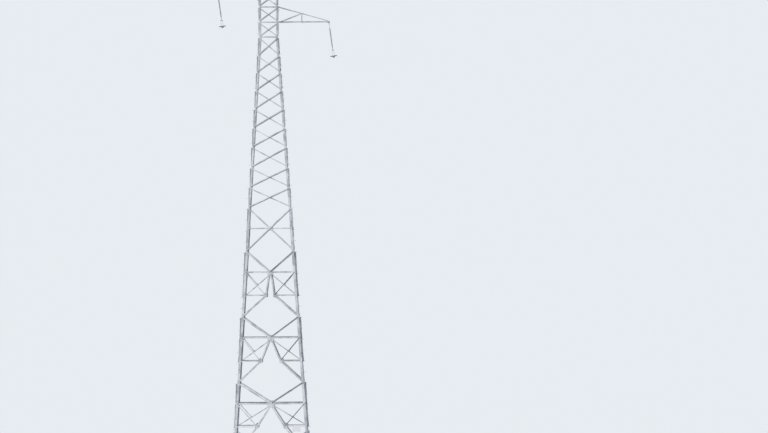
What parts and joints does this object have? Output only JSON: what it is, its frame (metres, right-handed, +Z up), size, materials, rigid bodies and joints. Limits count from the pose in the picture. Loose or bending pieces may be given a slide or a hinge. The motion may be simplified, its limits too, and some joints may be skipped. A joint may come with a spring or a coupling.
{
  "type": "lattice transmission pylon",
  "caption": "Tall tapered lattice steel pylon on concrete footings, with a slim square head, staggered arms and swinging insulator strings with grading rings",
  "frame": {"origin": "the middle of the front left footing's underside, at ground level; the pylon's upright axis stands at x = y = 2.625 m", "axes": "+Z up; +X across the line, towards the side with two arms; +Y along the line, away from the face with the sign plate"},
  "size_m": [8.3823, 5.91, 38.74],
  "materials": {
    "galvanised_steel": "hot-dip galvanised, weathered pale grey",
    "painted_concrete": "white-painted concrete",
    "silicone_rubber": "blue-grey silicone, dusty",
    "clamp_alloy": "dark weathered cast alloy",
    "ring_alloy": "dark weathered alloy tube",
    "white_enamel": "white enamel, bare"
  },
  "bodies": {
    "pylon": {"footing_front_left": "painted_concrete", "footing_front_right": "painted_concrete", "footing_back_right": "painted_concrete", "footing_back_left": "painted_concrete", "leg_front_left": "galvanised_steel", "leg_front_right": "galvanised_steel", "leg_back_right": "galvanised_steel", "leg_back_left": "galvanised_steel", "head_legs": "galvanised_steel", "front_lower_bracing": "galvanised_steel", "right_lower_bracing": "galvanised_steel", "back_lower_bracing": "galvanised_steel", "left_lower_bracing": "galvanised_steel", "front_upper_bracing": "galvanised_steel", "right_upper_bracing": "galvanised_steel", "back_upper_bracing": "galvanised_steel", "left_upper_bracing": "galvanised_steel", "front_head_bracing": "galvanised_steel", "right_head_bracing": "galvanised_steel", "back_head_bracing": "galvanised_steel", "left_head_bracing": "galvanised_steel", "body_diaphragms": "galvanised_steel", "head_diaphragms": "galvanised_steel", "lower_right_arm": "galvanised_steel", "left_arm": "galvanised_steel", "upper_right_arm": "galvanised_steel", "arm_tip_plates": "galvanised_steel", "earth_wire_beam": "galvanised_steel", "sign_plate": "white_enamel"},
    "lower_right_upper_link": {"lower_right_shackle": "galvanised_steel"},
    "lower_right_string": {"lower_right_link": "galvanised_steel", "lower_right_insulator": "silicone_rubber", "lower_right_clamp": "clamp_alloy", "lower_right_ring": "ring_alloy"},
    "left_upper_link": {"left_shackle": "galvanised_steel"},
    "left_string": {"left_link": "galvanised_steel", "left_insulator": "silicone_rubber", "left_clamp": "clamp_alloy", "left_ring": "ring_alloy"},
    "upper_right_upper_link": {"upper_right_shackle": "galvanised_steel"},
    "upper_right_string": {"upper_right_link": "galvanised_steel", "upper_right_insulator": "silicone_rubber", "upper_right_clamp": "clamp_alloy", "upper_right_ring": "ring_alloy"},
    "earth_wire_hanger": {"earth_wire_clamp": "clamp_alloy"}
  },
  "joints": [
    {"name": "lower_right_across", "type": "hinge", "parent": "pylon", "child": "lower_right_upper_link", "pos_m": [6.865, 2.625, 31.063], "axis": [0, -1, 0], "range_deg": [-62.5, 47.5]},
    {"name": "lower_right_along", "type": "hinge", "parent": "lower_right_upper_link", "child": "lower_right_string", "pos_m": [6.88249, 2.625, 30.93015], "axis": [0.9914, 0, 0.1305], "range_deg": [-45, 45]},
    {"name": "left_across", "type": "hinge", "parent": "pylon", "child": "left_upper_link", "pos_m": [-0.915, 2.625, 33.203], "axis": [0, -1, 0], "range_deg": [-62.5, 47.5]},
    {"name": "left_along", "type": "hinge", "parent": "left_upper_link", "child": "left_string", "pos_m": [-0.89751, 2.625, 33.07015], "axis": [0.9914, 0, 0.1305], "range_deg": [-45, 45]},
    {"name": "upper_right_across", "type": "hinge", "parent": "pylon", "child": "upper_right_upper_link", "pos_m": [6.115, 2.625, 35.343], "axis": [0, -1, 0], "range_deg": [-62.5, 47.5]},
    {"name": "upper_right_along", "type": "hinge", "parent": "upper_right_upper_link", "child": "upper_right_string", "pos_m": [6.13249, 2.625, 35.21015], "axis": [0.9914, 0, 0.1305], "range_deg": [-45, 45]},
    {"name": "earth_wire_across", "type": "hinge", "parent": "pylon", "child": "earth_wire_hanger", "pos_m": [1.723, 2.625, 38.615], "axis": [0, -1, 0], "range_deg": [-40, 15]}
  ]
}
